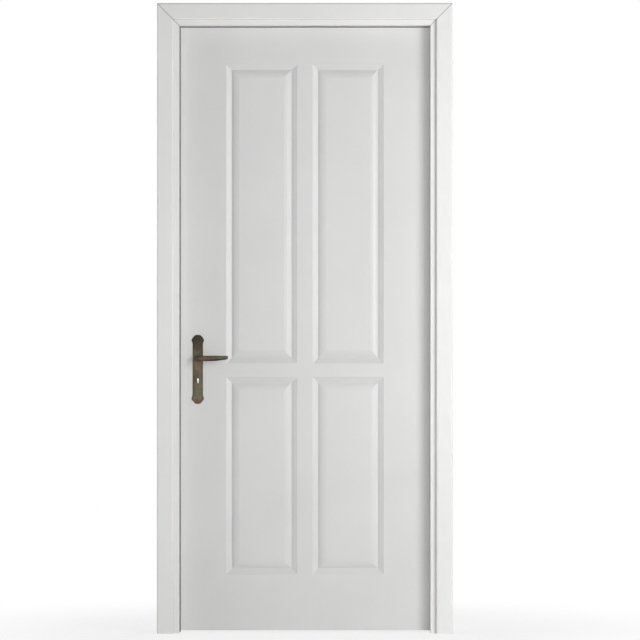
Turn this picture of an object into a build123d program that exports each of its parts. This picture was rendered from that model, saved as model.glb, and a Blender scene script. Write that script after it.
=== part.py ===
from build123d import *
import os

os.makedirs("parts", exist_ok=True)

# An interior door in its frame, in millimetres, with Z up and the floor at Z 0.
# X runs across the door with its middle at 0, and the hinges are at +X.
# The viewer stands at -Y, on the side that the leaf swings away from.

# Leaf
leaf_width = 860.0
leaf_height = 2040.0
leaf_thick = 40.0
floor_gap = 6.0
edge_gap = 3.0
skin_thick = 3.2
stile_width = 40.0
bottom_rail_height = 60.0

# Moulded panels
mid_stile = 48.0
panel_width = 243.0
panel_levels = [(193.0, 860.0), (902.0, 1912.0)]
moulding_width = 50.0
field_drop = 0.8
moulding_drop = 9.0

# Frame and architraves
jamb_depth = 90.0
jamb_thick = 22.0
stop_lip = 12.0
seal_gap = 3.0
casing_width = 55.0
casing_thick = 14.0
casing_cover = 15.0
tongue_thick = 4.0
tongue_length = 8.0

# Handle and lock
spindle_height = 921.0
backset = 70.0
handle_reach = 55.0
lever_length = 103.0
spindle_square = 8.0
neck_radius = 8.0
running_fit = 0.06
key_drop = 72.0
bolt_drop = 48.0
latch_throw = 12.0
dead_throw = 20.0

# Hinges
hinge_height = 100.0
hinge_plate = 2.5
hinge_leaf_width = 30.0
knuckle_radius = 6.0
pin_radius = 3.0
pin_offset = 7.0
hinge_levels = [250.0, 1050.0, 1850.0]

# Depths. The origin lies midway between the front architrave and the far lever
casing_front = -(casing_thick + jamb_depth + handle_reach) / 2
jamb_front = casing_front + casing_thick
jamb_back = jamb_front + jamb_depth
jamb_middle = (jamb_front + jamb_back) / 2
leaf_back = jamb_back
leaf_front = leaf_back - leaf_thick
leaf_middle = leaf_back - leaf_thick / 2
stop_back = leaf_front - seal_gap

# Half widths of the opening, from the leaf outwards, and its heights
leaf_edge = leaf_width / 2
leaf_top = floor_gap + leaf_height
rebate_face = leaf_edge + edge_gap
lip_edge = rebate_face - stop_lip
jamb_outer = rebate_face + jamb_thick
casing_inner = jamb_outer - casing_cover
casing_outer = casing_inner + casing_width
tongue_at = jamb_outer - casing_cover / 2
mitre_rise = leaf_top + edge_gap - rebate_face
frame_top = casing_outer + mitre_rise

lock_edge = -leaf_edge
spindle_at = lock_edge + backset
hinge_pin_x = leaf_edge + edge_gap / 2
hinge_pin_y = leaf_back + pin_offset
inner_thick = leaf_thick - 2 * skin_thick

# The planes that the top corners of the frame are mitred on, and the one that its head is drawn on
hinge_mitre = Plane(origin=(0, 0, mitre_rise), z_dir=(-1, 0, 1))
lock_mitre = Plane(origin=(0, 0, mitre_rise), z_dir=(1, 0, 1))
head_plane = Plane(origin=(casing_outer, 0, mitre_rise), x_dir=(0, 0, 1), z_dir=(-1, 0, 0))

# Planes across the door: on the leaf's front face and through its middle, as the viewer sees them
face_plane = Plane(origin=(0, leaf_front, 0), x_dir=(1, 0, 0), z_dir=(0, -1, 0))
middle_plane = Plane(origin=(0, leaf_middle, 0), x_dir=(1, 0, 0), z_dir=(0, -1, 0))
jamb_plane = Plane(origin=(0, jamb_middle, 0), x_dir=(1, 0, 0), z_dir=(0, -1, 0))


def save_piece(part, name):
    """Name a finished piece and write it out."""
    part.label = name
    export_step(part, f"parts/{name}.step")


def leg_of(section):
    """A mitred leg on the hinge side, from a section drawn on the floor."""
    with BuildPart() as leg:
        extrude(section, amount=frame_top)
        split(bisect_by=hinge_mitre, keep=Keep.BOTTOM)
    return leg.part


def head_of(section):
    """The mitred length over the leaf, from the same section drawn on the head's plane."""
    with BuildPart() as head:
        extrude(section, amount=2 * casing_outer)
        split(bisect_by=hinge_mitre, keep=Keep.TOP)
        split(bisect_by=lock_mitre, keep=Keep.TOP)
    return head.part


# Strike: a plate let into the lock jamb, over one box for both bolts
strike_thick = 2.0
strike_round = 4.0
strike_near_half = 12.0
strike_margin = 42.0
strike_front = leaf_middle - strike_near_half
strike_low = spindle_height - bolt_drop - strike_margin
strike_high = spindle_height + strike_margin
strike_screw_inset = 12.0
box_wall = 1.0
box_play = 0.2
box_depth = 18.6
box_half = 9.0
box_below_bolt = 20.0
box_above_latch = 18.0
box_low = spindle_height - bolt_drop - box_below_bolt
box_high = spindle_height + box_above_latch
latch_half_height = 12.0
dead_half_height = 15.0
bolt_half_thick = 5.0
hole_play = 1.5

# Screws, all of one pattern: countersunk heads on plain shanks
screw_radius = 2.0
screw_hole = 2.1
screw_head = 4.0
screw_head_depth = 1.9
screw_sink_radius = 4.1
screw_length = 20.0
screw_point = 4.0
pilot_depth = 20.5

with BuildPart() as wood_screw:
    with BuildSketch(Plane.XZ):
        with BuildLine():
            Polyline(
                (0, 0),
                (screw_head, 0),
                (screw_radius, -screw_head_depth),
                (screw_radius, screw_point - screw_length),
                (0, -screw_length),
                close=True,
            )
        make_face()
    revolve(axis=Axis.Z)

hinge_rows = [(-35.0, -12.0), (0.0, -23.0), (35.0, -12.0)]
hinge_screw_spots = [
    (leaf_back + across, level + up) for level in hinge_levels for up, across in hinge_rows
]
frame_screw_planes = [
    Plane(origin=(rebate_face, y, z), z_dir=(-1, 0, 0)) for y, z in hinge_screw_spots
]
leaf_screw_planes = [Plane(origin=(leaf_edge, y, z), z_dir=(1, 0, 0)) for y, z in hinge_screw_spots]
strike_screw_planes = [
    Plane(origin=(-rebate_face, leaf_middle, z), z_dir=(1, 0, 0))
    for z in (strike_low + strike_screw_inset, strike_high - strike_screw_inset)
]


# Jambs: plain boards with a groove in each edge for an architrave
jamb_round = 2.0
groove_play = 0.2
groove_depth = tongue_length + 1.0


def jamb_section(plane):
    """The jamb's section, with local X away from the opening and local Y towards the far side."""
    with BuildSketch(plane) as section:
        with Locations((rebate_face, jamb_front)):
            Rectangle(jamb_thick, jamb_depth, align=(Align.MIN, Align.MIN))
        fillet(section.vertices().group_by(Axis.X)[0].sort_by(Axis.Y)[-1], jamb_round)
        with Locations(
            (tongue_at, jamb_front + groove_depth / 2),
            (tongue_at, jamb_back - groove_depth / 2),
        ):
            Rectangle(tongue_thick + 2 * groove_play, groove_depth, mode=Mode.SUBTRACT)
    return section.sketch


jamb_leg = leg_of(jamb_section(Plane.XY))

with BuildPart() as hinge_jamb:
    add(jamb_leg)
    with Locations(*[(rebate_face, jamb_back, z) for z in hinge_levels]):
        Box(
            hinge_plate,
            hinge_leaf_width,
            hinge_height,
            align=(Align.MIN, Align.MAX, Align.CENTER),
            mode=Mode.SUBTRACT,
        )
    with Locations(*frame_screw_planes):
        Hole(radius=screw_hole, depth=pilot_depth)
save_piece(hinge_jamb.part, "hinge_jamb")

with BuildPart() as lock_jamb:
    mirror(jamb_leg, about=Plane.YZ)
    with Locations((-rebate_face, strike_front, strike_low)):
        Box(
            strike_thick,
            jamb_back - strike_front,
            strike_high - strike_low,
            align=(Align.MAX, Align.MIN, Align.MIN),
            mode=Mode.SUBTRACT,
        )
    with Locations((-rebate_face, leaf_middle, box_low - box_play)):
        Box(
            strike_thick + box_depth + box_play,
            2 * (box_half + box_play),
            box_high - box_low + 2 * box_play,
            align=(Align.MAX, Align.CENTER, Align.MIN),
            mode=Mode.SUBTRACT,
        )
    with Locations(*strike_screw_planes):
        Hole(radius=screw_hole, depth=pilot_depth)
save_piece(lock_jamb.part, "lock_jamb")

save_piece(head_of(jamb_section(head_plane)), "head_jamb")

# Stops: lengths planted on the jambs, flush in front, with a groove behind for the seal
seal_inset = 4.0
seal_stem = 2.4
seal_stem_depth = 4.0


def stop_section(plane):
    """The stop's section, drawn as the jamb's is."""
    with BuildSketch(plane) as section:
        with Locations((lip_edge, jamb_front)):
            Rectangle(stop_lip, stop_back - jamb_front, align=(Align.MIN, Align.MIN))
        fillet(section.vertices().group_by(Axis.X)[0].sort_by(Axis.Y)[0], jamb_round)
        with Locations((lip_edge + seal_inset, stop_back)):
            Rectangle(
                seal_stem + groove_play,
                seal_stem_depth + groove_play,
                align=(Align.CENTER, Align.MAX),
                mode=Mode.SUBTRACT,
            )
    return section.sketch


stop_leg = leg_of(stop_section(Plane.XY))
save_piece(stop_leg, "hinge_side_stop")
save_piece(mirror(stop_leg, about=Plane.YZ), "lock_side_stop")
save_piece(head_of(stop_section(head_plane)), "head_stop")


# Architraves: flat faced, rounded on both edges, hollowed behind, with a tongue for the jamb's groove
casing_round = 5.0
hollow_inset = 20.0
hollow_width = 27.0
hollow_depth = 2.5


def casing_section(plane):
    """The architrave's section, drawn as the jamb's is."""
    with BuildSketch(plane) as section:
        with Locations((casing_inner, casing_front)):
            Rectangle(casing_width, casing_thick, align=(Align.MIN, Align.MIN))
        fillet(section.vertices().group_by(Axis.Y)[0], casing_round)
        with Locations((casing_inner + hollow_inset, jamb_front)):
            Rectangle(hollow_width, hollow_depth, align=(Align.MIN, Align.MAX), mode=Mode.SUBTRACT)
        with Locations((tongue_at, jamb_front)):
            Rectangle(tongue_thick, tongue_length, align=(Align.CENTER, Align.MIN))
    return section.sketch


right_front_casing = leg_of(casing_section(Plane.XY))
head_front_casing = head_of(casing_section(head_plane))
front_casings = {
    "right": right_front_casing,
    "left": mirror(right_front_casing, about=Plane.YZ),
    "head": head_front_casing,
}
for side, casing in front_casings.items():
    save_piece(casing, f"{side}_front_casing")
    save_piece(mirror(casing, about=jamb_plane), f"{side}_back_casing")


# Seals: a stem pressed into the stop and a soft bead that the leaf closes on.
# On the lock side and the head the bead shows past the stop as a thin dark line.
seal_bead = 2.7
seal_bead_round = 1.2
seal_bead_end = 8.0
seal_show = -3.0


def seal_section(plane, bead_from):
    """The seal's section, with its bead starting at bead_from past the stop's edge."""
    bead_to = lip_edge + seal_bead_end
    with BuildSketch(plane) as section:
        with Locations((lip_edge + bead_from, stop_back)):
            Rectangle(bead_to - lip_edge - bead_from, seal_bead, align=(Align.MIN, Align.MIN))
        fillet(section.vertices().group_by(Axis.Y)[-1], seal_bead_round)
        with Locations((lip_edge + seal_inset, stop_back)):
            Rectangle(seal_stem, seal_stem_depth, align=(Align.CENTER, Align.MAX))
    return section.sketch


save_piece(leg_of(seal_section(Plane.XY, 0.0)), "hinge_side_seal")
save_piece(mirror(leg_of(seal_section(Plane.XY, seal_show)), about=Plane.YZ), "lock_side_seal")
save_piece(head_of(seal_section(head_plane, seal_show)), "head_seal")

# Strike plate, with a window for each bolt
with BuildPart() as strike_plate:
    with Locations((-rebate_face, strike_front, strike_low)):
        Box(
            strike_thick,
            jamb_back - strike_front,
            strike_high - strike_low,
            align=(Align.MAX, Align.MIN, Align.MIN),
        )
    far_edges = strike_plate.edges().filter_by(Axis.X).group_by(Axis.Y)[0]
    fillet(far_edges, strike_round)
    window_depth = 2 * (bolt_half_thick + hole_play)
    for drop, half_height in ((0.0, latch_half_height), (bolt_drop, dead_half_height)):
        with Locations((-rebate_face, leaf_middle, spindle_height - drop)):
            Box(
                2 * strike_thick,
                window_depth,
                2 * (half_height + hole_play),
                mode=Mode.SUBTRACT,
            )
    with Locations(*strike_screw_planes):
        CounterSinkHole(radius=screw_hole, counter_sink_radius=screw_sink_radius, depth=strike_thick)
save_piece(strike_plate.part, "strike_plate")

# Strike box: a thin moulded box, open towards the plate
with BuildPart() as strike_box:
    with Locations((-rebate_face - strike_thick, leaf_middle, box_low)):
        Box(
            box_depth,
            2 * box_half,
            box_high - box_low,
            align=(Align.MAX, Align.CENTER, Align.MIN),
        )
    mouth = strike_box.faces().sort_by(Axis.X)[-1]
    offset(amount=-box_wall, openings=mouth)
save_piece(strike_box.part, "strike_box")

with BuildPart() as strike_screws:
    with Locations(*strike_screw_planes):
        add(wood_screw.part)
save_piece(strike_screws.part, "strike_screws")


# Moulded skins: one pressed board for each face, with four sunk panels.
# The moulding falls past a small quirk to a sharp valley, and rises to the field in a flattening sweep.
moulding_line = [
    (0.0, 0.0),
    (2.0, 0.0),
    (4.5, 1.7),
    (12.0, 4.6),
    (20.8, moulding_drop),
    (28.5, 4.6),
    (37.0, 2.1),
    (46.0, field_drop),
    (moulding_width, field_drop),
]
moulding_round = 1.8
panel_offset = mid_stile / 2 + panel_width / 2
panel_boxes = [
    (side * panel_offset, (low + high) / 2, high - low)
    for side in (-1, 1)
    for low, high in panel_levels
]


def moulding_length(length):
    """One mitred length of the moulding, lying along X with its panel above it."""
    end_plane = Plane(origin=(length / 2, leaf_front, 0), x_dir=(0, 0, 1), z_dir=(-1, 0, 0))
    under = [(across, drop + skin_thick) for across, drop in moulding_line]
    with BuildPart() as strip:
        with BuildSketch(end_plane):
            with BuildLine():
                face_line = FilletPolyline(*moulding_line, radius=moulding_round)
                back_line = FilletPolyline(*under, radius=moulding_round)
                Line(face_line @ 0, back_line @ 0)
                Line(face_line @ 1, back_line @ 1)
            make_face()
        extrude(amount=length)
        for end in (-1, 1):
            mitre = Plane(origin=(end * length / 2, 0, 0), z_dir=(end, 0, 1))
            split(bisect_by=mitre, keep=Keep.BOTTOM)
    return strip.part


neck_hole = 9.5
key_slot_height = 22.0
key_slot_width = 10.0
key_slot_drop = 75.0
plate_screw_lifts = [66.0, -140.0]
plate_screw_spots = [(spindle_at, spindle_height + lift) for lift in plate_screw_lifts]
plate_screw_radius = 1.7
plate_screw_hole = 1.8
plate_screw_length = 14.0
plate_screw_crown = 0.9


def furniture_holes(depth_from, depth):
    """Holes that the handle, the key and the plates' screws need, cut towards the far side."""
    with BuildPart() as holes:
        with BuildSketch(face_plane.offset(-depth_from)):
            with Locations((spindle_at, spindle_height)):
                Circle(neck_hole)
            with Locations((spindle_at, spindle_height - key_slot_drop)):
                SlotOverall(key_slot_height, key_slot_width, rotation=90)
        extrude(amount=-depth)
    return holes.part


with BuildPart() as front_skin:
    with BuildSketch(face_plane):
        with Locations((0, floor_gap + leaf_height / 2)):
            Rectangle(leaf_width, leaf_height)
        for middle_x, middle_z, height in panel_boxes:
            with Locations((middle_x, middle_z)):
                Rectangle(panel_width, height, mode=Mode.SUBTRACT)
    extrude(amount=-skin_thick)
    with BuildSketch(face_plane.offset(-field_drop)):
        for middle_x, middle_z, height in panel_boxes:
            with Locations((middle_x, middle_z)):
                Rectangle(panel_width - 2 * moulding_width, height - 2 * moulding_width)
    extrude(amount=-skin_thick)
    for middle_x, middle_z, height in panel_boxes:
        for turn, length, across in (
            (0, panel_width, height),
            (90, height, panel_width),
            (180, panel_width, height),
            (270, height, panel_width),
        ):
            turned = Location((middle_x, 0, middle_z), (0, turn, 0))
            foot = Location((0, 0, -across / 2))
            add(moulding_length(length).moved(turned * foot))
    add(furniture_holes(0.0, skin_thick), mode=Mode.SUBTRACT)
    with BuildSketch(face_plane):
        with Locations(*plate_screw_spots):
            Circle(plate_screw_hole)
    extrude(amount=-skin_thick, mode=Mode.SUBTRACT)
save_piece(front_skin.part, "front_skin")

hinge_mortise_spots = [(leaf_edge, leaf_back, z) for z in hinge_levels]
with BuildPart() as back_skin:
    mirror(front_skin.part, about=middle_plane)
    with Locations(*hinge_mortise_spots):
        Box(
            hinge_plate,
            hinge_leaf_width,
            hinge_height,
            align=(Align.MAX, Align.MAX, Align.CENTER),
            mode=Mode.SUBTRACT,
        )
save_piece(back_skin.part, "back_skin")

# The leaf's inner frame: softwood stiles and rails between the skins
forend_thick = 3.0
forend_width = 20.0
forend_height = 235.0
case_depth = 100.0
case_thick = 14.0
case_wall = 1.5
case_above_spindle = 40.0
case_below_spindle = 110.0
case_high = spindle_height + case_above_spindle
case_low = spindle_height - case_below_spindle
case_play = 0.2
case_front = lock_edge + forend_thick
case_middle = (case_high + case_low) / 2
case_back = case_front + case_depth
forend_screw_lift = 104.0
forend_screw_planes = [
    Plane(origin=(lock_edge, leaf_middle, case_middle + lift), z_dir=(-1, 0, 0))
    for lift in (-forend_screw_lift, forend_screw_lift)
]
edge_plane = Plane(origin=(lock_edge, leaf_middle, case_middle), x_dir=(0, 0, 1), z_dir=(-1, 0, 0))


def case_pocket():
    """The room that the lock's case needs in the wood."""
    with BuildPart() as pocket:
        with Locations((lock_edge, leaf_middle, case_middle)):
            Box(
                forend_thick + case_depth + case_play,
                case_thick + 2 * case_play,
                case_high - case_low + 2 * case_play,
                align=(Align.MIN, Align.CENTER, Align.CENTER),
            )
    return pocket.part


with BuildPart() as lock_stile:
    with Locations((lock_edge, leaf_middle, floor_gap)):
        Box(stile_width, inner_thick, leaf_height, align=(Align.MIN, Align.CENTER, Align.MIN))
    add(case_pocket(), mode=Mode.SUBTRACT)
    with BuildSketch(edge_plane):
        SlotOverall(forend_height, forend_width)
    extrude(amount=-forend_thick, mode=Mode.SUBTRACT)
    with Locations(*forend_screw_planes):
        Hole(radius=screw_hole, depth=pilot_depth)
save_piece(lock_stile.part, "lock_stile")

with BuildPart() as hinge_stile:
    with Locations((leaf_edge, leaf_middle, floor_gap)):
        Box(stile_width, inner_thick, leaf_height, align=(Align.MAX, Align.CENTER, Align.MIN))
    with Locations(*hinge_mortise_spots):
        Box(
            hinge_plate,
            hinge_leaf_width,
            hinge_height,
            align=(Align.MAX, Align.MAX, Align.CENTER),
            mode=Mode.SUBTRACT,
        )
    with Locations(*leaf_screw_planes):
        Hole(radius=screw_hole, depth=pilot_depth)
save_piece(hinge_stile.part, "hinge_stile")

rail_length = leaf_width - 2 * stile_width
for name, low, height in (
    ("top_rail", leaf_top - stile_width, stile_width),
    ("bottom_rail", floor_gap, bottom_rail_height),
):
    with BuildPart() as rail:
        with Locations((0, leaf_middle, low)):
            Box(rail_length, inner_thick, height, align=(Align.CENTER, Align.CENTER, Align.MIN))
    save_piece(rail.part, name)

# Lock block: the wood behind the stile that the lock and the handles are fixed in
block_width = 82.0
block_below_spindle = 170.0
block_above_spindle = 110.0
block_low = spindle_height - block_below_spindle
block_high = spindle_height + block_above_spindle
block_start = lock_edge + stile_width
with BuildPart() as lock_block:
    with Locations((block_start, leaf_middle, block_low)):
        Box(
            block_width,
            inner_thick,
            block_high - block_low,
            align=(Align.MIN, Align.CENTER, Align.MIN),
        )
    add(case_pocket(), mode=Mode.SUBTRACT)
    add(furniture_holes(skin_thick, inner_thick), mode=Mode.SUBTRACT)
    with BuildSketch(face_plane):
        with Locations(*plate_screw_spots):
            Circle(plate_screw_hole)
    extrude(amount=-leaf_thick, mode=Mode.SUBTRACT)
save_piece(lock_block.part, "lock_block")

# Core: a honeycomb slab, pressed thin where the mouldings come in from both faces
core_low = floor_gap + bottom_rail_height
core_high = leaf_top - stile_width
core_play = 0.2
core_ring_room = moulding_drop + skin_thick + core_play
core_field_room = field_drop + skin_thick
with BuildPart() as core:
    with BuildSketch(face_plane.offset(-skin_thick)):
        with Locations((0, (core_low + core_high) / 2)):
            Rectangle(rail_length, core_high - core_low)
        with Locations((block_start, block_low)):
            Rectangle(
                block_width,
                block_high - block_low,
                align=(Align.MIN, Align.MIN),
                mode=Mode.SUBTRACT,
            )
    extrude(amount=-inner_thick)
    for plane, inwards in ((face_plane, -1), (face_plane.offset(-leaf_thick), 1)):
        with BuildSketch(plane):
            for middle_x, middle_z, height in panel_boxes:
                with Locations((middle_x, middle_z)):
                    Rectangle(panel_width, height)
                    Rectangle(
                        panel_width - 2 * moulding_width,
                        height - 2 * moulding_width,
                        mode=Mode.SUBTRACT,
                    )
        extrude(amount=inwards * core_ring_room, mode=Mode.SUBTRACT)
        with BuildSketch(plane):
            for middle_x, middle_z, height in panel_boxes:
                with Locations((middle_x, middle_z)):
                    Rectangle(panel_width - 2 * moulding_width, height - 2 * moulding_width)
        extrude(amount=inwards * core_field_room, mode=Mode.SUBTRACT)
save_piece(core.part, "honeycomb_core")

# Hinges: five knuckles on one pin, three on the frame's leaf and two on the door's
knuckle_height = hinge_height / 5
knuckle_play = 0.2
knuckle_clear = 0.4
pin_fit = 0.05
finial_radius = 5.0
finial_height = 5.0
finial_round = 3.0


def hinge_leaf(level, plate_x, plate_side, own_knuckles, screw_planes):
    """A hinge leaf: a flat plate, its knuckles rolled round the pin, and three countersunk holes."""
    foot = level - hinge_height / 2
    with BuildPart() as leaf:
        with Locations((plate_x, leaf_back - hinge_leaf_width, level)):
            Box(
                hinge_plate,
                hinge_leaf_width + pin_offset,
                hinge_height,
                align=(Align.MIN if plate_side > 0 else Align.MAX, Align.MIN, Align.CENTER),
            )
        others = [n for n in range(5) if n not in own_knuckles]
        with Locations(*[(hinge_pin_x, hinge_pin_y, foot + n * knuckle_height) for n in others]):
            Cylinder(
                knuckle_radius + knuckle_clear,
                knuckle_height,
                align=(Align.CENTER, Align.CENTER, Align.MIN),
                mode=Mode.SUBTRACT,
            )
        for n in own_knuckles:
            trim_low = knuckle_play / 2 if n > 0 else 0.0
            trim_high = knuckle_play / 2 if n < 4 else 0.0
            with Locations((hinge_pin_x, hinge_pin_y, foot + n * knuckle_height + trim_low)):
                Cylinder(
                    knuckle_radius,
                    knuckle_height - trim_low - trim_high,
                    align=(Align.CENTER, Align.CENTER, Align.MIN),
                )
        with Locations((hinge_pin_x, hinge_pin_y, level)):
            Cylinder(pin_radius + pin_fit, hinge_height, mode=Mode.SUBTRACT)
        with Locations(*screw_planes):
            CounterSinkHole(
                radius=screw_hole,
                counter_sink_radius=screw_sink_radius,
                depth=hinge_plate,
            )
    return leaf.part


for number, (name, level) in enumerate(zip(("lower", "middle", "upper"), hinge_levels)):
    rows = slice(3 * number, 3 * number + 3)
    frame_leaf = hinge_leaf(level, rebate_face, 1, (0, 2, 4), frame_screw_planes[rows])
    door_leaf = hinge_leaf(level, leaf_edge, -1, (1, 3), leaf_screw_planes[rows])
    save_piece(frame_leaf, f"{name}_hinge_frame_leaf")
    save_piece(door_leaf, f"{name}_hinge_door_leaf")
    with BuildPart() as pin:
        with Locations((hinge_pin_x, hinge_pin_y, level)):
            Cylinder(pin_radius, hinge_height)
        for end in (-1, 1):
            with BuildSketch(Plane.XY.offset(level + end * hinge_height / 2)):
                with Locations((hinge_pin_x, hinge_pin_y)):
                    Circle(finial_radius)
            extrude(amount=end * finial_height)
        rims = pin.edges().filter_by(GeomType.CIRCLE).sort_by(Axis.Z)
        fillet([rims[0], rims[-1]], finial_round)
    save_piece(pin.part, f"{name}_hinge_pin")

for name, planes in (
    ("hinge_frame_screws", frame_screw_planes),
    ("hinge_door_screws", leaf_screw_planes),
    ("forend_screws", forend_screw_planes),
):
    with BuildPart() as screws:
        with Locations(*planes):
            add(wood_screw.part)
    save_piece(screws.part, name)

# Lock: a flat steel case with a window for each bolt, holes for the follower and slots for the key
latch_hole_play = 0.4
window_cut = 4.5
follower_radius = 9.0
case_slot_height = 18.0
case_slot_width = 6.0
with BuildPart() as lock_case:
    with Locations((case_front, leaf_middle, case_middle)):
        Box(
            case_depth,
            case_thick,
            case_high - case_low,
            align=(Align.MIN, Align.CENTER, Align.CENTER),
        )
    with Locations((case_front + case_wall, leaf_middle, case_middle)):
        Box(
            case_depth - 2 * case_wall,
            case_thick - 2 * case_wall,
            case_high - case_low - 2 * case_wall,
            align=(Align.MIN, Align.CENTER, Align.CENTER),
            mode=Mode.SUBTRACT,
        )
    for drop, half_height in ((0.0, latch_half_height), (bolt_drop, dead_half_height)):
        with Locations((case_front, leaf_middle, spindle_height - drop)):
            Box(
                window_cut,
                2 * (bolt_half_thick + latch_hole_play),
                2 * (half_height + latch_hole_play),
                mode=Mode.SUBTRACT,
            )
    with BuildSketch(middle_plane):
        with Locations((spindle_at, spindle_height)):
            Circle(follower_radius + running_fit)
        with Locations((spindle_at, spindle_height - key_slot_drop)):
            SlotOverall(case_slot_height, case_slot_width, rotation=90)
    extrude(amount=case_thick, both=True, mode=Mode.SUBTRACT)
save_piece(lock_case.part, "lock_case")

with BuildPart() as forend:
    with BuildSketch(edge_plane):
        SlotOverall(forend_height, forend_width)
        for drop, half_height in ((0.0, latch_half_height), (bolt_drop, dead_half_height)):
            with Locations((spindle_height - drop - case_middle, 0)):
                Rectangle(
                    2 * (half_height + latch_hole_play),
                    2 * (bolt_half_thick + latch_hole_play),
                    mode=Mode.SUBTRACT,
                )
    extrude(amount=-forend_thick)
    with Locations(*forend_screw_planes):
        CounterSinkHole(radius=screw_hole, counter_sink_radius=screw_sink_radius, depth=forend_thick)
save_piece(forend.part, "forend")

# Follower: the hub that the spindle turns, with an arm that draws the latch back
arm_half = 2.5
arm_reach = 19.0
arm_thick = 5.0
follower_play = 0.2
square_hole = spindle_square + 2 * running_fit
with BuildPart() as follower:
    with BuildSketch(middle_plane):
        with Locations((spindle_at, spindle_height)):
            Circle(follower_radius)
    extrude(amount=case_thick / 2 - follower_play, both=True)
    with BuildSketch(middle_plane):
        with Locations((spindle_at, spindle_height)):
            Rectangle(2 * arm_half, arm_reach, align=(Align.CENTER, Align.MIN))
    extrude(amount=arm_thick / 2, both=True)
    with BuildSketch(middle_plane):
        with Locations((spindle_at, spindle_height)):
            Rectangle(square_hole, square_hole)
    extrude(amount=case_thick, both=True, mode=Mode.SUBTRACT)
save_piece(follower.part, "follower")

# Latch bolt: a head bevelled on the side that meets the strike, and a tail hooked over the arm
latch_head_length = 12.0
latch_neck_length = 12.0
latch_nose_thick = 3.0
bevel_start = 1.0
head_back = lock_edge + latch_head_length
neck_back = head_back + latch_neck_length
latch_tip = lock_edge - latch_throw
lug_front = spindle_at + 3.5
lug_back = spindle_at + 12.0
lug_foot = spindle_height + 11.0
bar_low = spindle_height + 21.5
bar_high = spindle_height + 27.5
with BuildPart() as latch_bolt:
    with BuildSketch(Plane.XY.offset(spindle_height)):
        with Locations((0, leaf_middle)):
            with BuildLine():
                Polyline(
                    (head_back, leaf_middle - bolt_half_thick),
                    (head_back, leaf_middle + bolt_half_thick),
                    (latch_tip, leaf_middle + bolt_half_thick),
                    (latch_tip, leaf_middle + bolt_half_thick - latch_nose_thick),
                    (lock_edge - bevel_start, leaf_middle - bolt_half_thick),
                    close=True,
                )
        make_face()
    extrude(amount=latch_half_height, both=True)
    with BuildSketch(middle_plane):
        with BuildLine():
            Polyline(
                (head_back, spindle_height - latch_half_height),
                (neck_back, spindle_height - latch_half_height),
                (neck_back, bar_low),
                (lug_front, bar_low),
                (lug_front, lug_foot),
                (lug_back, lug_foot),
                (lug_back, bar_high),
                (head_back, bar_high),
                close=True,
            )
        make_face()
    extrude(amount=arm_thick / 2, both=True)
save_piece(latch_bolt.part, "latch_bolt")

# Latch spring: a folded flat strip between the latch's lug and the back of the case
spring_thick = 0.8
spring_back = case_back - case_wall - spring_thick
spring_front = lug_back + spring_thick
spring_lean = 1.0
spring_high = spindle_height + 24.0
spring_low = spindle_height - 8.0
with BuildPart() as latch_spring:
    with BuildSketch(middle_plane):
        with BuildLine():
            Polyline(
                (spring_front, spring_high),
                (spring_front + spring_lean, spring_low),
                (spring_back - spring_lean, spring_high),
                (spring_back, spring_low),
            )
        trace(line_width=spring_thick)
    extrude(amount=arm_thick / 2, both=True)
save_piece(latch_spring.part, "latch_spring")

# Dead bolt: a square head and a flat tail with the notch that the key turns in
dead_head_length = 25.0
dead_head_chamfer = 0.8
tail_front = lock_edge + dead_head_length
tail_back = spindle_at + 10.0
tail_half_height = 11.0
notch_width = 14.0
notch_depth = 6.0
bolt_height = spindle_height - bolt_drop
with BuildPart() as dead_bolt:
    with Locations((lock_edge, leaf_middle, bolt_height)):
        Box(
            tail_front - lock_edge,
            2 * bolt_half_thick,
            2 * dead_half_height,
            align=(Align.MIN, Align.CENTER, Align.CENTER),
        )
    chamfer(dead_bolt.faces().sort_by(Axis.X)[0].edges(), dead_head_chamfer)
    with Locations((tail_front, leaf_middle, bolt_height)):
        Box(
            tail_back - tail_front,
            arm_thick,
            2 * tail_half_height,
            align=(Align.MIN, Align.CENTER, Align.CENTER),
        )
    with Locations((spindle_at, leaf_middle, bolt_height - tail_half_height)):
        Box(
            notch_width,
            2 * arm_thick,
            notch_depth,
            align=(Align.CENTER, Align.CENTER, Align.MIN),
            mode=Mode.SUBTRACT,
        )
save_piece(dead_bolt.part, "dead_bolt")

# Handle plate: a long plate with a bulb at each end, its middle raised on a bevelled border.
# It is drawn from the spindle, and the right half of the outline is mirrored.
handle_plane = Plane(
    origin=(spindle_at, leaf_front, spindle_height), x_dir=(1, 0, 0), z_dir=(0, -1, 0)
)
plate_top = 79.0
plate_foot = -153.0
plate_waist = 17.2
plate_bulb = 20.6
plate_base = 2.4
plate_thick = 4.2
plate_border = 3.6
plate_base_chamfer = 1.0
plate_raised_chamfer = 1.2
shoulder_in = 34.0
bulb_in = 16.0
crown_in = 3.6
crown_share = 0.55
keyhole_round = 4.5
keyhole_slot = 5.0
keyhole_foot = 12.0
plate_screw_planes = [
    Plane(origin=(x, leaf_front - plate_thick, z), z_dir=(0, -1, 0)) for x, z in plate_screw_spots
]


def plate_outline(inset, top, foot):
    """The plate's outline, drawn in by inset all round."""
    waist = plate_waist - inset
    bulb = plate_bulb - inset
    with BuildSketch() as outline:
        with BuildLine():
            for end, way in ((top, 1), (foot, -1)):
                Spline(
                    (waist, end - way * shoulder_in),
                    (bulb, end - way * (bulb_in - inset / 2)),
                    (crown_share * bulb, end - way * crown_in),
                    (0, end),
                    tangents=[(0, way), (-1, 0)],
                )
            Line((waist, top - shoulder_in), (waist, foot + shoulder_in))
            mirror(about=Plane.YZ)
        make_face()
    return outline.sketch


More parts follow.
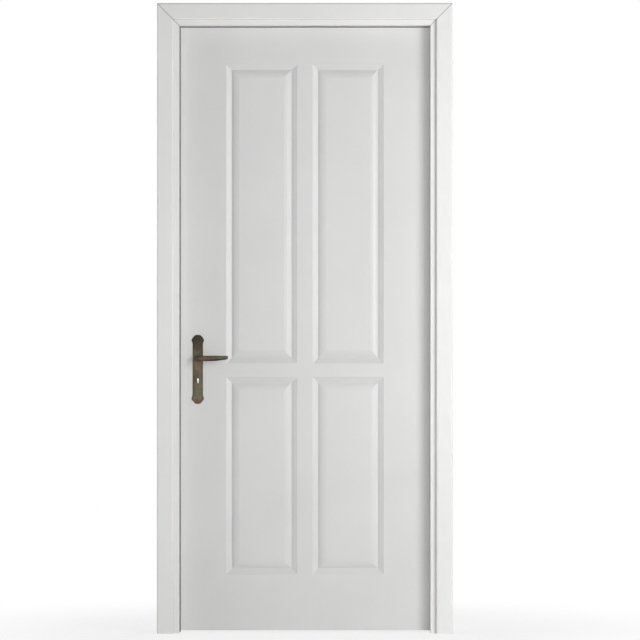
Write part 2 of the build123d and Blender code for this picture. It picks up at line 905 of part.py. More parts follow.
with BuildPart() as front_backplate:
    with BuildSketch(handle_plane):
        add(plate_outline(0.0, plate_top, plate_foot))
    extrude(amount=plate_base)
    chamfer(front_backplate.faces().sort_by(Axis.Y)[0].edges(), plate_base_chamfer)
    with BuildSketch(handle_plane.offset(plate_base)):
        add(plate_outline(plate_border, plate_top - plate_border, plate_foot + plate_border))
    extrude(amount=plate_thick - plate_base)
    chamfer(front_backplate.faces().sort_by(Axis.Y)[0].edges(), plate_raised_chamfer)
    with BuildSketch(handle_plane):
        Circle(neck_radius + running_fit)
        with Locations((0, -key_drop)):
            Circle(keyhole_round)
            Rectangle(keyhole_slot, keyhole_foot, align=(Align.CENTER, Align.MAX))
    extrude(amount=plate_thick, mode=Mode.SUBTRACT)
    with Locations(*plate_screw_planes):
        CounterSinkHole(
            radius=plate_screw_hole,
            counter_sink_radius=screw_sink_radius,
            depth=plate_thick,
        )
save_piece(front_backplate.part, "front_backplate")
back_backplate = mirror(front_backplate.part, about=middle_plane)
save_piece(back_backplate, "back_backplate")

# Plate screws: raised heads on thinner shanks, two to a plate
crown_radius = (screw_head**2 + plate_screw_crown**2) / (2 * plate_screw_crown)
with BuildPart() as plate_screw:
    with BuildSketch(Plane.XZ):
        with BuildLine():
            Polyline(
                (0, plate_screw_crown),
                (0, -plate_screw_length),
                (plate_screw_radius, screw_point - plate_screw_length),
                (plate_screw_radius, -screw_head_depth),
                (screw_head, 0),
            )
            RadiusArc((screw_head, 0), (0, plate_screw_crown), -crown_radius)
        make_face()
    revolve(axis=Axis.Z)
with BuildPart() as front_screws:
    with Locations(*plate_screw_planes):
        add(plate_screw.part)
with BuildPart() as backplate_screws:
    add(front_screws.part)
    mirror(front_screws.part, about=middle_plane)
save_piece(backplate_screws.part, "backplate_screws")

# Lever: a turned neck with a collar, and an arm that bends out of it, with a level top and a foot
# that rises to the tip. Each section of the arm is given by its place along X, its depth from the
# leaf, its rise and its half sizes.
collar_radius = 11.0
collar_round = 0.8
collar_gap = 0.3
collar_thick = 2.6
collar_start = plate_thick + collar_gap
collar_end = collar_start + collar_thick
neck_top = 27.0
bend_radius = 21.3
arm_depth = neck_top + bend_radius
neck_bend = [(0.0, 8.0, 8.0), (30.0, 8.2, 7.7), (60.0, 8.6, 7.1)]
arm_sections = [
    (bend_radius, arm_depth, 0.0, 9.0, 6.5),
    (48.0, arm_depth, 0.2, 8.9, 6.2),
    (74.0, arm_depth - 0.5, 1.1, 7.8, 5.6),
    (92.0, arm_depth - 1.4, 2.2, 6.4, 4.9),
    (lever_length - 2.5, arm_depth - 2.2, 3.1, 5.0, 3.8),
    (lever_length, arm_depth - 2.5, 3.5, 2.6, 1.9),
]
square_depth = 20.0
square_play = 0.5
spindle_chamfer = 0.6
grub_radius = 2.5
grub_depth = 14.0
square_half = square_hole / 2

with BuildPart() as front_lever:
    with BuildSketch(Plane.XY.offset(spindle_height)):
        with Locations((spindle_at, leaf_front)):
            Rectangle(neck_radius, neck_top, align=(Align.MIN, Align.MAX))
        with Locations((spindle_at, leaf_front - collar_end)):
            Rectangle(collar_radius, collar_thick, align=(Align.MIN, Align.MIN))
    revolve(axis=Axis((spindle_at, leaf_front, spindle_height), (0, 1, 0)))
    collar_edges = front_lever.edges().filter_by(GeomType.CIRCLE).sort_by(SortBy.RADIUS)[-2:]
    fillet(collar_edges, collar_round)
    for angle, half_height, half_thick in neck_bend:
        turn = Vector(0, -1, 0).rotate(Axis.Z, angle)
        middle = Vector(spindle_at + bend_radius, leaf_front - neck_top, spindle_height)
        spot = middle - bend_radius * Vector(1, 0, 0).rotate(Axis.Z, angle)
        with BuildSketch(Plane(origin=spot, x_dir=(0, 0, 1), z_dir=turn)):
            Ellipse(half_height, half_thick)
    for along, depth, rise, half_height, half_thick in arm_sections:
        spot = (spindle_at + along, leaf_front - depth, spindle_height + rise)
        with BuildSketch(Plane(origin=spot, x_dir=(0, 0, 1), z_dir=(1, 0, 0))):
            Ellipse(half_height, half_thick)
    loft()
    with Locations((spindle_at, leaf_front, spindle_height)):
        Box(
            square_hole,
            square_depth,
            square_hole,
            align=(Align.CENTER, Align.MAX, Align.CENTER),
            mode=Mode.SUBTRACT,
        )
    with Locations((spindle_at, leaf_front - grub_depth, spindle_height)):
        Cylinder(
            grub_radius + running_fit,
            neck_radius,
            align=(Align.CENTER, Align.CENTER, Align.MAX),
            mode=Mode.SUBTRACT,
        )
save_piece(front_lever.part, "front_lever")
save_piece(mirror(front_lever.part, about=middle_plane), "back_lever")

# Spindle: one square bar through the follower into both levers
with BuildPart() as spindle:
    with Locations((spindle_at, leaf_middle, spindle_height)):
        Box(spindle_square, leaf_thick + 2 * (square_depth - square_play), spindle_square)
    chamfer(spindle.faces().filter_by(Axis.Y).edges(), spindle_chamfer)
save_piece(spindle.part, "spindle")

# Grub screws: one up through each neck on to the spindle, each with a hexagon socket
grub_inset = 0.2
grub_play = 0.1
socket_radius = 1.4
socket_depth = 2.0
grub_level = spindle_height - neck_radius + grub_inset
grub_length = neck_radius - square_half - grub_inset - grub_play
grub_spots = [(spindle_at, leaf_front - grub_depth), (spindle_at, leaf_back + grub_depth)]
with BuildPart() as grub_screws:
    with BuildSketch(Plane.XY.offset(grub_level)):
        with Locations(*grub_spots):
            Circle(grub_radius)
    extrude(amount=grub_length)
    with BuildSketch(Plane.XY.offset(grub_level)):
        with Locations(*grub_spots):
            RegularPolygon(socket_radius, 6)
    extrude(amount=socket_depth, mode=Mode.SUBTRACT)
save_piece(grub_screws.part, "grub_screws")
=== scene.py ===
import bmesh
import bpy
import math
from mathutils import Matrix, Vector


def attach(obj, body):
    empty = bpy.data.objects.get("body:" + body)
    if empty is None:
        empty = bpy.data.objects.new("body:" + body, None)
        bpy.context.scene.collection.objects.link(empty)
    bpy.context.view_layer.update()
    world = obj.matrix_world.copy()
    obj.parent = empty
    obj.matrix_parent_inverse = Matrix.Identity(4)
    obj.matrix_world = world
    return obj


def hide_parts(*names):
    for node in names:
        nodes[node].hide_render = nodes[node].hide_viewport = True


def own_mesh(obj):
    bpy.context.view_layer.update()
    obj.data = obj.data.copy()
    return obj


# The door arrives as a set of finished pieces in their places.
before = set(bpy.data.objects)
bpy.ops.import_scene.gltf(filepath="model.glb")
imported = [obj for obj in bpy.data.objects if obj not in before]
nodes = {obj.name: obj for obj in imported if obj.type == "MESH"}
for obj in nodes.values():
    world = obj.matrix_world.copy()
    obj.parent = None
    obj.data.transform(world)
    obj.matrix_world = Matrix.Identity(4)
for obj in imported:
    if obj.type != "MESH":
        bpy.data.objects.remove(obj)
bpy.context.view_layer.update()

# The photograph looks straight at the door from far off through a long lens.
# Its middle is 51 mm right of the door's middle and 1.05 m above the floor.
sensor_width_mm = 36.0
lens_mm = 201.7
view_middle_x = 0.051
view_height = 1.050
camera_distance = 12.0795
sight_end = 60.0
camera_data = bpy.data.cameras.new("long_lens")
camera_data.sensor_width = sensor_width_mm
camera_data.lens = lens_mm
camera_data.clip_end = sight_end
camera = bpy.data.objects.new("camera", camera_data)
camera.location = (view_middle_x, -camera_distance, view_height)
camera.rotation_euler = (math.radians(90), 0, 0)
bpy.context.scene.collection.objects.link(camera)
bpy.context.scene.camera = camera


# Jambs: fibreboard boards mitred at the top corners, primed and sprayed satin white.
# Their outer faces go against the wall, where the brown board is left bare.
# Each mitre has a shallow groove where the lengths meet, with a fine dark line of painted shade
# along it.
mitre_rise = 1.616
mitre_line_reach = 0.0019
mitre_groove_reach = 0.0036
mitre_groove_depth = 6.0
mitre_painted_shade = (0.20, 0.195, 0.18)
mitre_shade_share = 0.85
jamb_outer_side = 0.4548
head_outer_top = 2.0708
board_extra_roughness = 0.4
white_dark = (0.800, 0.800, 0.785)
white_light = (0.845, 0.845, 0.835)


def new_material(name):
    """A new material with its tree, its links and its own shader."""
    material = bpy.data.materials.new(name)
    material.use_nodes = True
    tree = material.node_tree
    return material, tree.nodes, tree.links, tree.nodes["Principled BSDF"]


def sum_of(made, links, operation, first, second=None):
    """One sum on one or two values, each a number or another node's output."""
    node = made.new("ShaderNodeMath")
    node.operation = operation
    for socket, value in zip(node.inputs, (first, second)):
        if isinstance(value, (int, float)):
            socket.default_value = value
        elif value is not None:
            links.new(value, socket)
    return node.outputs["Value"]


def noise(made, links, where, scale, detail=3.0, roughness=0.5):
    """Soft random clouds from 0 to 1, with about scale of them to the metre."""
    texture = made.new("ShaderNodeTexNoise")
    texture.inputs["Scale"].default_value = scale
    texture.inputs["Detail"].default_value = detail
    texture.inputs["Roughness"].default_value = roughness
    links.new(where, texture.inputs["Vector"])
    return texture.outputs["Fac"]


def stretched(made, links, where, scale=(1.0, 1.0, 1.0), offset=(0.0, 0.0, 0.0)):
    """A place on the piece, drawn out along the axes with the smaller scales, and moved."""
    mapping = made.new("ShaderNodeMapping")
    mapping.inputs["Scale"].default_value = scale
    mapping.inputs["Location"].default_value = offset
    links.new(where, mapping.inputs["Vector"])
    return mapping.outputs["Vector"]


def tones(made, links, value, dark, light, start=0.3, end=0.7):
    """A colour that runs from dark to light as the value rises."""
    ramp = made.new("ShaderNodeValToRGB")
    ramp.color_ramp.elements[0].position = start
    ramp.color_ramp.elements[0].color = (*dark, 1)
    ramp.color_ramp.elements[1].position = end
    ramp.color_ramp.elements[1].color = (*light, 1)
    links.new(value, ramp.inputs["Fac"])
    return ramp.outputs["Color"]


def between(made, links, value, low, high, start=0.3, end=0.7):
    """A number that runs from low to high as the value goes from start to end."""
    scale = made.new("ShaderNodeMapRange")
    scale.inputs["From Min"].default_value = start
    scale.inputs["From Max"].default_value = end
    scale.inputs["To Min"].default_value = low
    scale.inputs["To Max"].default_value = high
    links.new(value, scale.inputs["Value"])
    return scale.outputs["Result"]


def laid_over(made, links, mask, under, over):
    """The colour over laid on the colour under, where the mask is 1."""
    mixed = made.new("ShaderNodeMix")
    mixed.data_type = "RGBA"
    links.new(mask, mixed.inputs["Factor"])
    for socket, colour in ((mixed.inputs[6], under), (mixed.inputs[7], over)):
        if isinstance(colour, tuple):
            socket.default_value = (*colour, 1)
        else:
            links.new(colour, socket)
    return mixed.outputs[2]


def raised(made, links, shader, height, strength, distance):
    """Gives the shader a surface that stands up where the height is high."""
    bump = made.new("ShaderNodeBump")
    bump.inputs["Strength"].default_value = strength
    bump.inputs["Distance"].default_value = distance
    links.new(height, bump.inputs["Height"])
    links.new(bump.outputs["Normal"], shader.inputs["Normal"])


def along(made, links, place, axis):
    """How far a place on the piece lies along one axis: X, Y or Z."""
    split = made.new("ShaderNodeSeparateXYZ")
    links.new(place, split.inputs["Vector"])
    return split.outputs[axis]


def size_of(made, links, value):
    """A value without its sign."""
    return sum_of(made, links, "ABSOLUTE", value)


def mitre_joint(made, links, place, half_width):
    """1 on the mitred joint of the top corners, falling to 0 at half_width from it."""
    side = size_of(made, links, along(made, links, place, "X"))
    line = sum_of(made, links, "SUBTRACT", along(made, links, place, "Z"), mitre_rise)
    level_gap = sum_of(made, links, "SUBTRACT", side, line)
    square_gap = sum_of(made, links, "MULTIPLY", level_gap, math.sqrt(0.5))
    near = size_of(made, links, square_gap)
    return between(made, links, near, low=1.0, high=0.0, start=0.0, end=half_width)


def bare_board(made, links, place):
    """The brown of sawn fibreboard, with its fine short fibres."""
    drawn = stretched(made, links, place, scale=(1.0, 1.0, 0.35))
    fibres = noise(made, links, drawn, scale=1400.0, detail=4.0, roughness=0.65)
    dark, light = (0.235, 0.155, 0.085), (0.430, 0.315, 0.195)
    return tones(made, links, fibres, dark, light)


def sprayed_white(name, dark, light, bare_faces=None, mitred=False):
    """Satin sprayed paint, over board that stays bare where bare_faces is 1."""
    material, made, links, shader = new_material(name)
    place = made.new("ShaderNodeTexCoord").outputs["Object"]
    cloud = noise(made, links, place, scale=3.2, detail=4.0)
    height = noise(made, links, place, scale=620.0, detail=2.0)
    colour = tones(made, links, cloud, dark, light)
    rough = between(made, links, cloud, low=0.33, high=0.43)
    if mitred:
        # Along the mitre the colour is darkened: painted shade for the groove where the lengths
        # meet.
        line = mitre_joint(made, links, place, mitre_line_reach)
        shaded_line = sum_of(made, links, "MULTIPLY", line, mitre_shade_share)
        colour = laid_over(made, links, shaded_line, colour, mitre_painted_shade)
        groove = mitre_joint(made, links, place, mitre_groove_reach)
        sunk = sum_of(made, links, "MULTIPLY", groove, -mitre_groove_depth)
        height = sum_of(made, links, "ADD", height, sunk)
    if bare_faces:
        mask = bare_faces(made, links, place)
        colour = laid_over(made, links, mask, colour, bare_board(made, links, place))
        rougher = sum_of(made, links, "MULTIPLY", mask, board_extra_roughness)
        rough = sum_of(made, links, "ADD", rough, rougher)
    links.new(colour, shader.inputs["Base Color"])
    links.new(rough, shader.inputs["Roughness"])
    raised(made, links, shader, height, strength=0.10, distance=0.0003)
    return material


def dress(names, material):
    """Gives finished pieces their material."""
    for name in names:
        piece = nodes[name]
        piece.data.materials.clear()
        piece.data.materials.append(material)


def faces_wall_opening(made, links, place):
    """1 on the outer faces of the jambs, which the wall covers."""
    across = size_of(made, links, along(made, links, place, "X"))
    side = sum_of(made, links, "GREATER_THAN", across, jamb_outer_side)
    top = sum_of(made, links, "GREATER_THAN", along(made, links, place, "Z"), head_outer_top)
    return sum_of(made, links, "MAXIMUM", side, top)


jamb_paint = sprayed_white("jamb_paint", white_dark, white_light, faces_wall_opening, mitred=True)
dress(["lock_jamb", "hinge_jamb", "head_jamb"], jamb_paint)

# Stops: strips planted on the jambs for the leaf to close on, sprayed with them.
# Their front edges are flush with the jambs', and the leaf's side holds the seal.
stop_paint = sprayed_white("stop_paint", white_dark, white_light, mitred=True)
dress(["lock_side_stop", "hinge_side_stop", "head_stop"], stop_paint)


# Architraves: flat lengths with rounded edges and a tongue behind, mitred at the top.
# They are sprayed like the jambs on the side that shows, and bare on the wall's side.
frame_middle_y = -0.0205
casing_bare_reach = 0.0477


def faces_wall(made, links, place):
    """1 on the backs of the architraves, from the planes that meet the wall inwards."""
    from_middle = sum_of(made, links, "SUBTRACT", along(made, links, place, "Y"), frame_middle_y)
    depth = size_of(made, links, from_middle)
    return sum_of(made, links, "LESS_THAN", depth, casing_bare_reach)


casing_paint = sprayed_white("casing_paint", white_dark, white_light, faces_wall, mitred=True)
casings = [
    f"{side}_{face}_casing" for side in ("left", "right", "head") for face in ("front", "back")
]
dress(casings, casing_paint)

# Seals: soft black rubber with a stem in the stop's groove and a bead that the leaf presses.
# The rubber is black and dusty, dull in some places and a little shinier in others.
seal_rubber, made, links, shader = new_material("seal_rubber")
place = made.new("ShaderNodeTexCoord").outputs["Object"]
dust = noise(made, links, place, scale=90.0, detail=5.0, roughness=0.6)
links.new(
    tones(made, links, dust, (0.022, 0.021, 0.020), (0.052, 0.050, 0.046)),
    shader.inputs["Base Color"],
)
links.new(between(made, links, dust, low=0.55, high=0.78), shader.inputs["Roughness"])
moulded_grain = noise(made, links, place, scale=900.0)
raised(made, links, shader, moulded_grain, strength=0.10, distance=0.0002)
dress(["lock_side_seal", "hinge_side_seal", "head_seal"], seal_rubber)

# Leaf: two pressed skins with four sunk panels each, glued to softwood stiles and rails.
# The whole leaf is sprayed a satin white, a little greyer than the frame.
leaf_dark = (0.675, 0.675, 0.670)
leaf_light = (0.720, 0.720, 0.716)
leaf_paint = sprayed_white("leaf_paint", leaf_dark, leaf_light)
leaf_shell = ["front_skin", "back_skin", "lock_stile", "hinge_stile", "top_rail", "bottom_rail"]
dress(leaf_shell, leaf_paint)

# Lock block: plain softwood behind the stile, which the lock and the handles are fixed in.
# Its grain runs up the door.
pine, made, links, shader = new_material("pine")
place = made.new("ShaderNodeTexCoord").outputs["Object"]
drawn = stretched(made, links, place, scale=(1.0, 1.0, 0.05))
wavy = noise(made, links, drawn, scale=60.0, detail=2.0)
rings = made.new("ShaderNodeTexWave")
rings.wave_type = "RINGS"
rings.inputs["Scale"].default_value = 55.0
rings.inputs["Distortion"].default_value = 5.0
rings.inputs["Detail"].default_value = 2.0
links.new(drawn, rings.inputs["Vector"])
both = sum_of(made, links, "ADD", wavy, rings.outputs["Fac"])
grain = sum_of(made, links, "MULTIPLY", both, 0.5)
links.new(
    tones(made, links, grain, (0.50, 0.34, 0.185), (0.73, 0.57, 0.37), start=0.2, end=0.8),
    shader.inputs["Base Color"],
)
links.new(between(made, links, grain, low=0.60, high=0.75), shader.inputs["Roughness"])
raised(made, links, shader, grain, strength=0.15, distance=0.0003)
dress(["lock_block"], pine)

# Core: brown paper honeycomb that keeps the skins apart.
# Its cells are about 16 mm across and show on the slab's faces, with their hollows painted dark as
# shade.
paper_core, made, links, shader = new_material("paper_core")
place = made.new("ShaderNodeTexCoord").outputs["Object"]
cells = made.new("ShaderNodeTexVoronoi")
cells.feature = "DISTANCE_TO_EDGE"
cells.inputs["Scale"].default_value = 62.0
cells.inputs["Randomness"].default_value = 0.35
flattened = stretched(made, links, place, scale=(1.0, 0.0, 1.0))
links.new(flattened, cells.inputs["Vector"])
paper = noise(made, links, place, scale=300.0, detail=4.0)
walls = tones(made, links, paper, (0.40, 0.28, 0.16), (0.55, 0.41, 0.26))
to_wall = cells.outputs["Distance"]
# The cells' middles are painted dark: painted shade down in their hollows.
cell_shade = between(made, links, to_wall, low=0.0, high=0.8, start=0.03, end=0.10)
links.new(laid_over(made, links, cell_shade, walls, (0.16, 0.11, 0.06)), shader.inputs["Base Color"])
links.new(between(made, links, paper, low=0.8, high=0.95), shader.inputs["Roughness"])
raised(made, links, shader, to_wall, strength=0.4, distance=-0.002)
dress(["honeycomb_core"], paper_core)

# Hinges: three pressed steel butts with five knuckles each on a loose pin.
# They are nickel plated and brushed along their length.
brushed_steel, made, links, shader = new_material("brushed_steel")
place = made.new("ShaderNodeTexCoord").outputs["Object"]
drawn = stretched(made, links, place, scale=(1.0, 1.0, 0.02))
brushing = noise(made, links, drawn, scale=1500.0)
smears = noise(made, links, place, scale=35.0, detail=4.0)
links.new(
    tones(made, links, brushing, (0.37, 0.37, 0.36), (0.52, 0.515, 0.50)),
    shader.inputs["Base Color"],
)
scratched = between(made, links, brushing, low=0.0, high=0.10)
smeared = between(made, links, smears, low=0.24, high=0.34)
rough = sum_of(made, links, "ADD", scratched, smeared)
links.new(rough, shader.inputs["Roughness"])
shader.inputs["Metallic"].default_value = 1.0
raised(made, links, shader, brushing, strength=0.05, distance=0.0001)
hinge_pieces = [
    f"{level}_hinge_{part}"
    for level in ("lower", "middle", "upper")
    for part in ("frame_leaf", "door_leaf", "pin")
]
dress(hinge_pieces, brushed_steel)

# Wood screws: countersunk steel heads with a cross recess, three to each hinge leaf.
# The strike and the forend have two each, and all are set flush in their plates.
screw_sides = 28
head_radius = 0.0040
head_depth = 0.0019
shank_radius = 0.0020
screw_length = 0.0200
point_length = 0.0040
recess_reach = 0.0024
recess_half = 0.00042
recess_depth = 0.0014
recess_foot_reach = 0.00108
recess_foot_half = 0.000336
crown_steps = ((0.62, 0.72), (0.86, 0.40))
point_share = 0.1
first_spin = 23
next_spin = 37


def ring_of(build, radius, level, turn):
    """A ring of points round the screw's middle line."""
    angles = [2 * math.pi * step / screw_sides for step in range(screw_sides)]
    spots = [(radius * math.cos(angle), radius * math.sin(angle), level) for angle in angles]
    return [build.verts.new(turn @ Vector(spot)) for spot in spots]


def walls_between(build, first, second):
    """A closed band of faces from one loop of points to the next."""
    count = len(first)
    for step in range(count):
        after = (step + 1) % count
        build.faces.new((first[step], first[after], second[after], second[step]))


def cross_loop(build, reach, half, level, turn):
    """The outline of the driver's cross at one level."""
    quarter = [(reach, -half), (reach, half), (half, half)]
    spots = []
    for corner in range(4):
        cosine, sine = math.cos(corner * math.pi / 2), math.sin(corner * math.pi / 2)
        spots += [(cosine * x - sine * y, sine * x + cosine * y, level) for x, y in quarter]
    return [build.verts.new(turn @ Vector(spot)) for spot in spots]


def edges_round(build, loop):
    """The edges that join a closed loop of points."""
    return [build.edges.get(pair) for pair in zip(loop, loop[1:] + loop[:1])]


def piece_from(build, name):
    """A new object with the finished mesh."""
    bmesh.ops.recalc_face_normals(build, faces=build.faces)
    mesh = bpy.data.meshes.new(name)
    build.to_mesh(mesh)
    build.free()
    piece = bpy.data.objects.new(name, mesh)
    bpy.context.scene.collection.objects.link(piece)
    return piece


def add_screw(build, turn, crown, shank, length):
    """One screw with its head's rim at the turned origin and its crown along the turned Z."""
    outline = [(head_radius * out, crown * up) for out, up in crown_steps]
    outline += [
        (head_radius, 0.0),
        (shank, -head_depth),
        (shank, point_length - length),
        (shank * point_share, -length),
    ]
    rings = [ring_of(build, radius, level, turn) for radius, level in outline]
    for upper, lower in zip(rings, rings[1:]):
        walls_between(build, lower, upper)
    build.faces.new(reversed(rings[-1]))
    mouth = cross_loop(build, recess_reach, recess_half, crown, turn)
    foot = cross_loop(build, recess_foot_reach, recess_foot_half, crown - recess_depth, turn)
    walls_between(build, foot, mouth)
    build.faces.new(foot)
    open_edges = edges_round(build, rings[0]) + edges_round(build, mouth)
    bmesh.ops.triangle_fill(build, edges=open_edges, use_beauty=True)


def screws(name, node, body, spots, outward, crown=0.0, shank=shank_radius, length=screw_length):
    """A group of like screws in place of the plain ones, each set by its spot and its way out."""
    build = bmesh.new()
    for number, (spot, way) in enumerate(zip(spots, outward)):
        spin = Matrix.Rotation(math.radians(first_spin + next_spin * number), 4, "Z")
        turn = Vector(way).to_track_quat("Z", "Y").to_matrix().to_4x4()
        add_screw(build, Matrix.Translation(Vector(spot)) @ turn @ spin, crown, shank, length)
    group = piece_from(build, name)
    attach(group, body)
    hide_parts(node)
    return group


hinge_levels = (0.250, 1.050, 1.850)
hinge_rows = ((-0.035, 0.0125), (0.0, 0.0015), (0.035, 0.0125))
jamb_face = 0.433
leaf_edge = 0.430
frame_spots = [(jamb_face, y, level + up) for level in hinge_levels for up, y in hinge_rows]
door_spots = [(leaf_edge, y, level + up) for level in hinge_levels for up, y in hinge_rows]
leaf_middle = 0.0045
strike_screw_levels = (0.843, 0.951)
forend_screw_levels = (0.782, 0.990)
strike_spots = [(-jamb_face, leaf_middle, level) for level in strike_screw_levels]
forend_spots = [(-leaf_edge, leaf_middle, level) for level in forend_screw_levels]
for name, node, body, spots, way in (
    ("hinge_screws_in_jamb", "hinge_frame_screws", "frame", frame_spots, (-1, 0, 0)),
    ("hinge_screws_in_leaf", "hinge_door_screws", "leaf", door_spots, (1, 0, 0)),
    ("screws_in_strike", "strike_screws", "frame", strike_spots, (1, 0, 0)),
    ("screws_in_forend", "forend_screws", "leaf", forend_spots, (-1, 0, 0)),
):
    group = screws(name, node, body, spots, [way] * len(spots))
    group.data.materials.append(brushed_steel)

# Strike: a nickelled steel plate let into the jamb over one moulded box for both bolts.
# The box is black plastic with a fine moulded grain.
dress(["strike_plate"], brushed_steel)
box_plastic, made, links, shader = new_material("box_plastic")
place = made.new("ShaderNodeTexCoord").outputs["Object"]
moulded_grain = noise(made, links, place, scale=700.0)
links.new(
    tones(made, links, moulded_grain, (0.020, 0.020, 0.021), (0.034, 0.034, 0.036)),
    shader.inputs["Base Color"],
)
links.new(between(made, links, moulded_grain, low=0.50, high=0.65), shader.inputs["Roughness"])
raised(made, links, shader, moulded_grain, strength=0.2, distance=0.0001)
dress(["strike_box"], box_plastic)

# Lock: a pressed steel case in grey paint, with a nickelled forend and two steel bolts.
# A follower on the spindle draws the latch, and a folded strip spring sends it out again.
case_paint, made, links, shader = new_material("case_paint")
place = made.new("ShaderNodeTexCoord").outputs["Object"]
blotch = noise(made, links, place, scale=45.0, detail=4.0)
links.new(
    tones(made, links, blotch, (0.215, 0.220, 0.228), (0.285, 0.290, 0.300)),
    shader.inputs["Base Color"],
)
links.new(between(made, links, blotch, low=0.38, high=0.52), shader.inputs["Roughness"])
spray = noise(made, links, place, scale=800.0)
raised(made, links, shader, spray, strength=0.12, distance=0.0002)
dress(["lock_case"], case_paint)
lock_steel = ["forend", "latch_bolt", "dead_bolt", "follower", "spindle", "grub_screws"]
dress(lock_steel, brushed_steel)

# Latch spring: a strip of spring steel folded twice, between the latch's tail and the case.
# In the lock it shuts up like a bellows when the lever draws the latch; here it is built at rest,
# standing on the case's back.
spring_thick = 0.0008
spring_sides = (0.0020, 0.0070)
spring_folds = [(-0.3472, 0.9450), (-0.3462, 0.9130), (-0.3303, 0.9450), (-0.3293, 0.9130)]
fold_radius = 0.0010
fold_steps = 10


def rounded_folds(corners, radius, steps):
    """The strip's middle line with each fold rounded, and its ends as they are."""
    line = [Vector(corners[0])]
    for before, corner, after in zip(corners, corners[1:], corners[2:]):
        corner = Vector(corner)
        back = (Vector(before) - corner).normalized()
        on = (Vector(after) - corner).normalized()
        half = back.angle(on) / 2
        middle = corner + (back + on).normalized() * radius / math.sin(half)
        start = corner + back * radius / math.tan(half) - middle
        sweep = math.copysign(math.pi - 2 * half, start.angle_signed(corner - middle))
        for step in range(steps + 1):
            line.append(middle + Matrix.Rotation(-sweep * step / steps, 2) @ start)
    return line + [Vector(corners[-1])]


def folded_strip(name, line, thick, sides):
    """A flat strip standing on its middle line, from one side to the other."""
    build = bmesh.new()
    loops = []
    for number, spot in enumerate(line):
        ahead = line[min(number + 1, len(line) - 1)]
        behind = line[max(number - 1, 0)]
        across = (ahead - behind).normalized().orthogonal() * thick / 2
        corners = [(spot + across, sides[0]), (spot - across, sides[0])]
        corners += [(spot - across, sides[1]), (spot + across, sides[1])]
        loops.append([build.verts.new((flat.x, side, flat.y)) for flat, side in corners])
    for first, second in zip(loops, loops[1:]):
        walls_between(build, first, second)
    build.faces.new(loops[0])
    build.faces.new(loops[-1])
    return piece_from(build, name)


spring = folded_strip(
    "folded_latch_spring",
    rounded_folds(spring_folds, fold_radius, fold_steps),
    spring_thick,
    spring_sides,
)
spring.data.materials.append(brushed_steel)
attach(spring, "leaf")
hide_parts("latch_spring")
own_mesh(spring)

# Handles: long plates and levers in cast brass, pickled dark and rubbed back to an aged bronze.
# The patina is browner in some places and olive in others, and the colour is darkest towards the
# plates' tops.
aged_bronze, made, links, shader = new_material("aged_bronze")
place = made.new("ShaderNodeTexCoord").outputs["Object"]
plate_dark_from = 0.925
plate_dark_to = 0.980
top_colour = (0.024, 0.021, 0.016)
patina = noise(made, links, place, scale=30.0, detail=5.0, roughness=0.6)
moved = stretched(made, links, place, offset=(0.31, 0.0, 0.17))
patches = noise(made, links, moved, scale=17.0, detail=2.0)
olive = tones(made, links, patina, (0.044, 0.043, 0.028), (0.116, 0.110, 0.074))
brown = tones(made, links, patina, (0.050, 0.034, 0.022), (0.130, 0.096, 0.066))
browner = between(made, links, patches, low=0.0, high=1.0, start=0.42, end=0.58)
tinted = laid_over(made, links, browner, olive, brown)
height = along(made, links, place, "Z")
# Towards the plates' tops the colour is laid darker and darker.
darker_to_top = between(
    made, links, height, low=0.0, high=0.80, start=plate_dark_from, end=plate_dark_to
)
links.new(laid_over(made, links, darker_to_top, tinted, top_colour), shader.inputs["Base Color"])
links.new(between(made, links, patina, low=0.36, high=0.50), shader.inputs["Roughness"])
shader.inputs["Metallic"].default_value = 1.0
cast_grain = noise(made, links, place, scale=420.0, detail=4.0, roughness=0.6)
raised(made, links, shader, cast_grain, strength=0.14, distance=0.0003)
handle_pieces = ["front_backplate", "back_backplate", "front_lever", "back_lever"]
dress(handle_pieces, aged_bronze)

# Plate screws: raised heads of the plates' own metal, two to a plate.
# They sit in countersinks at the plates' head and foot.
plate_screw_x = -0.360
plate_screw_levels = (0.987, 0.781)
plate_front = -0.0197
plate_back = 2 * leaf_middle - plate_front
plate_spots = [(plate_screw_x, y, z) for y in (plate_front, plate_back) for z in plate_screw_levels]
plate_ways = [(0, way, 0) for way in (-1, 1) for level in plate_screw_levels]
group = screws(
    "screws_in_plates",
    "backplate_screws",
    "leaf",
    plate_spots,
    plate_ways,
    crown=0.0009,
    shank=0.0017,
    length=0.0140,
)
group.data.materials.append(aged_bronze)

# Floor and backdrop: both white, and the floor keeps the door's soft shadow.
# Away from the door the floor fades into the white round it.
floor_side = 9
floor_near = -14
floor_far = 6
fade_from = 0.5
fade_to = 1.6
glow_by_door = 0.74
fill_light = 0.10
floor_corners = [
    (-floor_side, floor_near, 0),
    (floor_side, floor_near, 0),
    (floor_side, floor_far, 0),
    (-floor_side, floor_far, 0),
]
floor_mesh = bpy.data.meshes.new("floor")
floor_mesh.from_pydata(floor_corners, [], [(0, 1, 2, 3)])
floor = bpy.data.objects.new("floor", floor_mesh)
bpy.context.scene.collection.objects.link(floor)
floor_paint, made, links, shader = new_material("floor_paint")
shader.inputs["Base Color"].default_value = (0.90, 0.90, 0.90, 1)
shader.inputs["Roughness"].default_value = 0.9
glow = made.new("ShaderNodeEmission")
glow.inputs["Color"].default_value = (1, 1, 1, 1)
away = made.new("ShaderNodeVectorMath")
away.operation = "LENGTH"
links.new(made.new("ShaderNodeTexCoord").outputs["Object"], away.inputs[0])
fade = made.new("ShaderNodeMapRange")
fade.interpolation_type = "SMOOTHSTEP"
fade.inputs["From Min"].default_value = fade_from
fade.inputs["From Max"].default_value = fade_to
fade.inputs["To Min"].default_value = glow_by_door
links.new(away.outputs["Value"], fade.inputs["Value"])


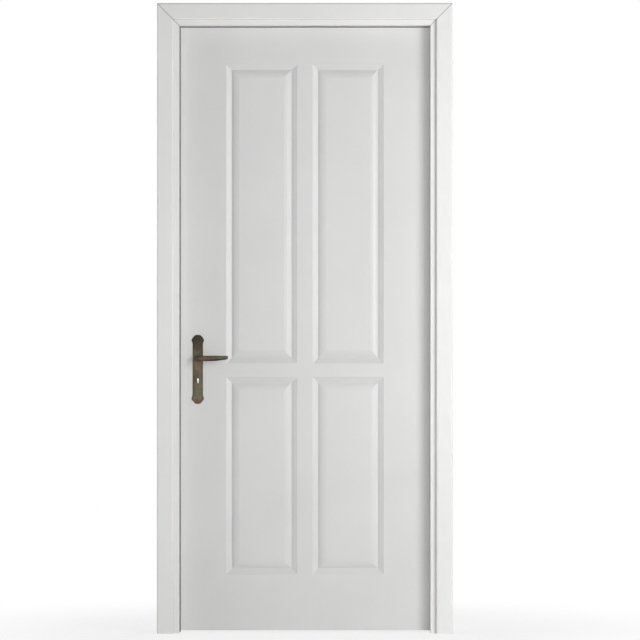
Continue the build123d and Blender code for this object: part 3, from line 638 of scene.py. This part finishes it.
def looked_at(made, links):
    """1 for the camera, and for what metal and glass show of the studio."""
    path = made.new("ShaderNodeLightPath").outputs
    mirrored = sum_of(made, links, "MAXIMUM", path["Is Glossy Ray"], path["Is Transmission Ray"])
    return sum_of(made, links, "MAXIMUM", path["Is Camera Ray"], mirrored)


seen = sum_of(made, links, "MULTIPLY", looked_at(made, links), fade.outputs["Result"])
mixed = made.new("ShaderNodeMixShader")
links.new(seen, mixed.inputs[0])
links.new(shader.outputs["BSDF"], mixed.inputs[1])
links.new(glow.outputs["Emission"], mixed.inputs[2])
links.new(mixed.outputs["Shader"], made["Material Output"].inputs["Surface"])
floor_mesh.materials.append(floor_paint)

# The world is plain white where it is looked at, and only a faint fill for the door.
world = bpy.data.worlds.new("studio")
bpy.context.scene.world = world
world.use_nodes = True
made, links = world.node_tree.nodes, world.node_tree.links
background = made["Background"]
background.inputs["Color"].default_value = (1, 1, 1, 1)
level = made.new("ShaderNodeMapRange")
level.inputs["To Min"].default_value = fill_light
level.inputs["To Max"].default_value = 1.0
links.new(looked_at(made, links), level.inputs["Value"])
links.new(level.outputs["Result"], background.inputs["Strength"])


# Studio lamps: a broad one in front, and soft ones from the right, the left and above.
# The one on the right is nearest, so the leaf is brighter there and its mouldings stand out.
# Two more stand behind the door, for the views of its other side.
def soft_lamp(name, place, aim, wide, high, watts):
    """A soft box at a place, turned to its aim."""
    data = bpy.data.lights.new(name, "AREA")
    data.shape = "RECTANGLE"
    data.size = wide
    data.size_y = high
    data.energy = watts
    lamp = bpy.data.objects.new(name, data)
    lamp.location = place
    lamp.rotation_euler = (Vector(aim) - Vector(place)).to_track_quat("-Z", "Y").to_euler()
    bpy.context.scene.collection.objects.link(lamp)


soft_lamp("front_box", (0.5, -6.0, 1.0), (0, 0, 1.05), 3.0, 3.0, 68)
soft_lamp("right_box", (1.95, -2.5, 1.4), (0.2, 0, 0.95), 1.3, 1.8, 56)
soft_lamp("left_strip", (-4.5, -1.2, 1.2), (0, 0, 1.05), 1.0, 2.0, 30)
soft_lamp("top_box", (0.0, -2.0, 5.0), (0, 0, 1.1), 2.0, 2.0, 6)
soft_lamp("back_box", (3.4, 4.8, 2.2), (0, 0, 1.1), 2.4, 2.4, 105)
soft_lamp("back_side_box", (-2.6, 2.8, 2.0), (0, 0, 1.1), 1.4, 1.6, 48)

# The colours are shown as they are.
bpy.context.scene.view_settings.view_transform = "Standard"
